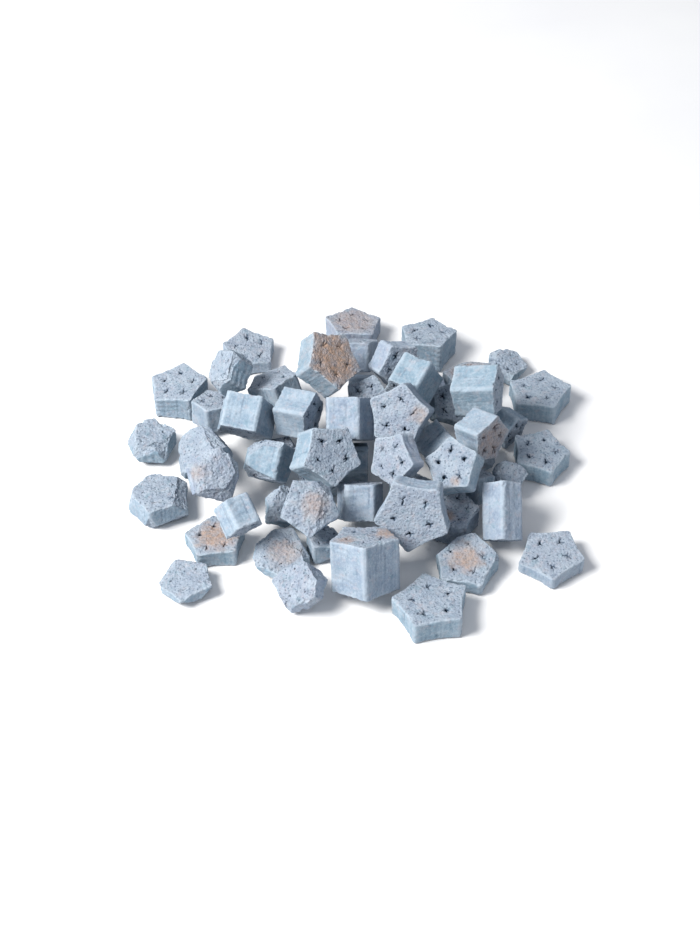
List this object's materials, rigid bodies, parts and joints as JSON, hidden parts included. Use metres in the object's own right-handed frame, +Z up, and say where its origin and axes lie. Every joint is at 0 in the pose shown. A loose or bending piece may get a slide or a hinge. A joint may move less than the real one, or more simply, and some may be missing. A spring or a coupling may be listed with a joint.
{
  "type": "filter stone heap",
  "caption": "Heap of loose, short, pale-blue porous ceramic filter stones with a fluted five-pointed-star section, broken ends and small bores.",
  "frame": {"origin": "middle of the heap's footprint, on the floor it lies on", "axes": "+Z up from the floor; +Y away from the side the heap is seen from; +X to the right of that side"},
  "size_m": [0.2096, 0.2098, 0.0513],
  "materials": {
    "pale_blue_ceramic": "matte, porous",
    "ochre_stained_ceramic": "matte, porous, ochre-stained"
  },
  "bodies": {
    "resting_heap": {"far_left_nub": "pale_blue_ceramic", "far_left_boulder": "pale_blue_ceramic", "left_inner_post": "pale_blue_ceramic", "left_rounded_lump": "pale_blue_ceramic", "orange_left_star": "ochre_stained_ceramic", "left_front_crater": "pale_blue_ceramic", "front_nub": "pale_blue_ceramic", "front_buried_post": "pale_blue_ceramic", "left_smooth_block": "pale_blue_ceramic", "back_left_wedge": "pale_blue_ceramic", "left_centre_log": "pale_blue_ceramic", "left_centre_block": "pale_blue_ceramic", "left_buried_chip": "pale_blue_ceramic", "centre_front_rubble": "pale_blue_ceramic", "centre_blue_post": "pale_blue_ceramic", "centre_square_block": "pale_blue_ceramic", "centre_box_star": "pale_blue_ceramic", "front_standing_block": "pale_blue_ceramic", "back_shaded_star": "pale_blue_ceramic", "centre_back_stub": "pale_blue_ceramic", "upper_smooth_log": "pale_blue_ceramic", "upper_blue_stub": "pale_blue_ceramic", "centre_holed_star": "pale_blue_ceramic", "centre_low_star": "pale_blue_ceramic", "large_front_star": "pale_blue_ceramic", "centre_shaded_block": "pale_blue_ceramic", "right_centre_star": "pale_blue_ceramic", "right_cracked_log": "pale_blue_ceramic", "right_buried_wedge": "pale_blue_ceramic", "right_ridged_post": "pale_blue_ceramic", "right_end_log": "pale_blue_ceramic", "right_rounded_nub": "pale_blue_ceramic", "right_tall_block": "pale_blue_ceramic", "right_front_peak": "pale_blue_ceramic", "front_crater_star": "ochre_stained_ceramic", "hidden_bed_stones": "pale_blue_ceramic"},
    "left_back_star": {"left_back_star": "pale_blue_ceramic"},
    "back_left_slab": {"back_left_slab": "pale_blue_ceramic"},
    "left_leaning_stub": {"left_leaning_stub": "pale_blue_ceramic"},
    "left_front_lump": {"left_front_lump": "pale_blue_ceramic"},
    "front_left_slab": {"front_left_slab": "pale_blue_ceramic"},
    "left_front_log": {"left_front_log": "pale_blue_ceramic"},
    "centre_front_boulder": {"centre_front_boulder": "pale_blue_ceramic"},
    "orange_crown_star": {"orange_crown_star": "ochre_stained_ceramic"},
    "back_middle_cap": {"back_middle_cap": "pale_blue_ceramic"},
    "back_middle_post": {"back_middle_post": "pale_blue_ceramic"},
    "back_right_drum": {"back_right_drum": "pale_blue_ceramic"},
    "right_back_tan_stub": {"right_back_tan_stub": "pale_blue_ceramic"},
    "right_rough_log": {"right_rough_log": "pale_blue_ceramic"},
    "right_back_slab": {"right_back_slab": "pale_blue_ceramic"},
    "right_back_star": {"right_back_star": "pale_blue_ceramic"},
    "far_right_star": {"far_right_star": "pale_blue_ceramic"},
    "front_right_star": {"front_right_star": "pale_blue_ceramic"},
    "far_right_front_star": {"far_right_front_star": "pale_blue_ceramic"}
  },
  "joints": [
    {"name": "left_back_star_lift", "type": "slide", "parent": "resting_heap", "child": "left_back_star", "axis": [0, 0, 1], "range_m": [0, 0.06]},
    {"name": "back_left_slab_lift", "type": "slide", "parent": "resting_heap", "child": "back_left_slab", "axis": [0, 0, 1], "range_m": [0, 0.06]},
    {"name": "left_leaning_stub_lift", "type": "slide", "parent": "resting_heap", "child": "left_leaning_stub", "axis": [0, 0, 1], "range_m": [0, 0.06]},
    {"name": "left_front_lump_lift", "type": "slide", "parent": "resting_heap", "child": "left_front_lump", "axis": [0, 0, 1], "range_m": [0, 0.06]},
    {"name": "front_left_slab_lift", "type": "slide", "parent": "resting_heap", "child": "front_left_slab", "axis": [0, 0, 1], "range_m": [0, 0.06]},
    {"name": "left_front_log_lift", "type": "slide", "parent": "resting_heap", "child": "left_front_log", "axis": [0, 0, 1], "range_m": [0, 0.06]},
    {"name": "centre_front_boulder_lift", "type": "slide", "parent": "resting_heap", "child": "centre_front_boulder", "axis": [0, 0, 1], "range_m": [0, 0.06]},
    {"name": "orange_crown_star_lift", "type": "slide", "parent": "resting_heap", "child": "orange_crown_star", "axis": [0, 0, 1], "range_m": [0, 0.06]},
    {"name": "back_middle_cap_lift", "type": "slide", "parent": "resting_heap", "child": "back_middle_cap", "axis": [0, 0, 1], "range_m": [0, 0.06]},
    {"name": "back_middle_post_lift", "type": "slide", "parent": "resting_heap", "child": "back_middle_post", "axis": [0, 0, 1], "range_m": [0, 0.06]},
    {"name": "back_right_drum_lift", "type": "slide", "parent": "resting_heap", "child": "back_right_drum", "axis": [0, 0, 1], "range_m": [0, 0.06]},
    {"name": "right_back_tan_stub_lift", "type": "slide", "parent": "resting_heap", "child": "right_back_tan_stub", "axis": [0, 0, 1], "range_m": [0, 0.06]},
    {"name": "right_rough_log_lift", "type": "slide", "parent": "resting_heap", "child": "right_rough_log", "axis": [0, 0, 1], "range_m": [0, 0.06]},
    {"name": "right_back_slab_lift", "type": "slide", "parent": "resting_heap", "child": "right_back_slab", "axis": [0, 0, 1], "range_m": [0, 0.06]},
    {"name": "right_back_star_lift", "type": "slide", "parent": "resting_heap", "child": "right_back_star", "axis": [0, 0, 1], "range_m": [0, 0.06]},
    {"name": "far_right_star_lift", "type": "slide", "parent": "resting_heap", "child": "far_right_star", "axis": [0, 0, 1], "range_m": [0, 0.06]},
    {"name": "front_right_star_lift", "type": "slide", "parent": "resting_heap", "child": "front_right_star", "axis": [0, 0, 1], "range_m": [0, 0.06]},
    {"name": "far_right_front_star_lift", "type": "slide", "parent": "resting_heap", "child": "far_right_front_star", "axis": [0, 0, 1], "range_m": [0, 0.06]}
  ]
}
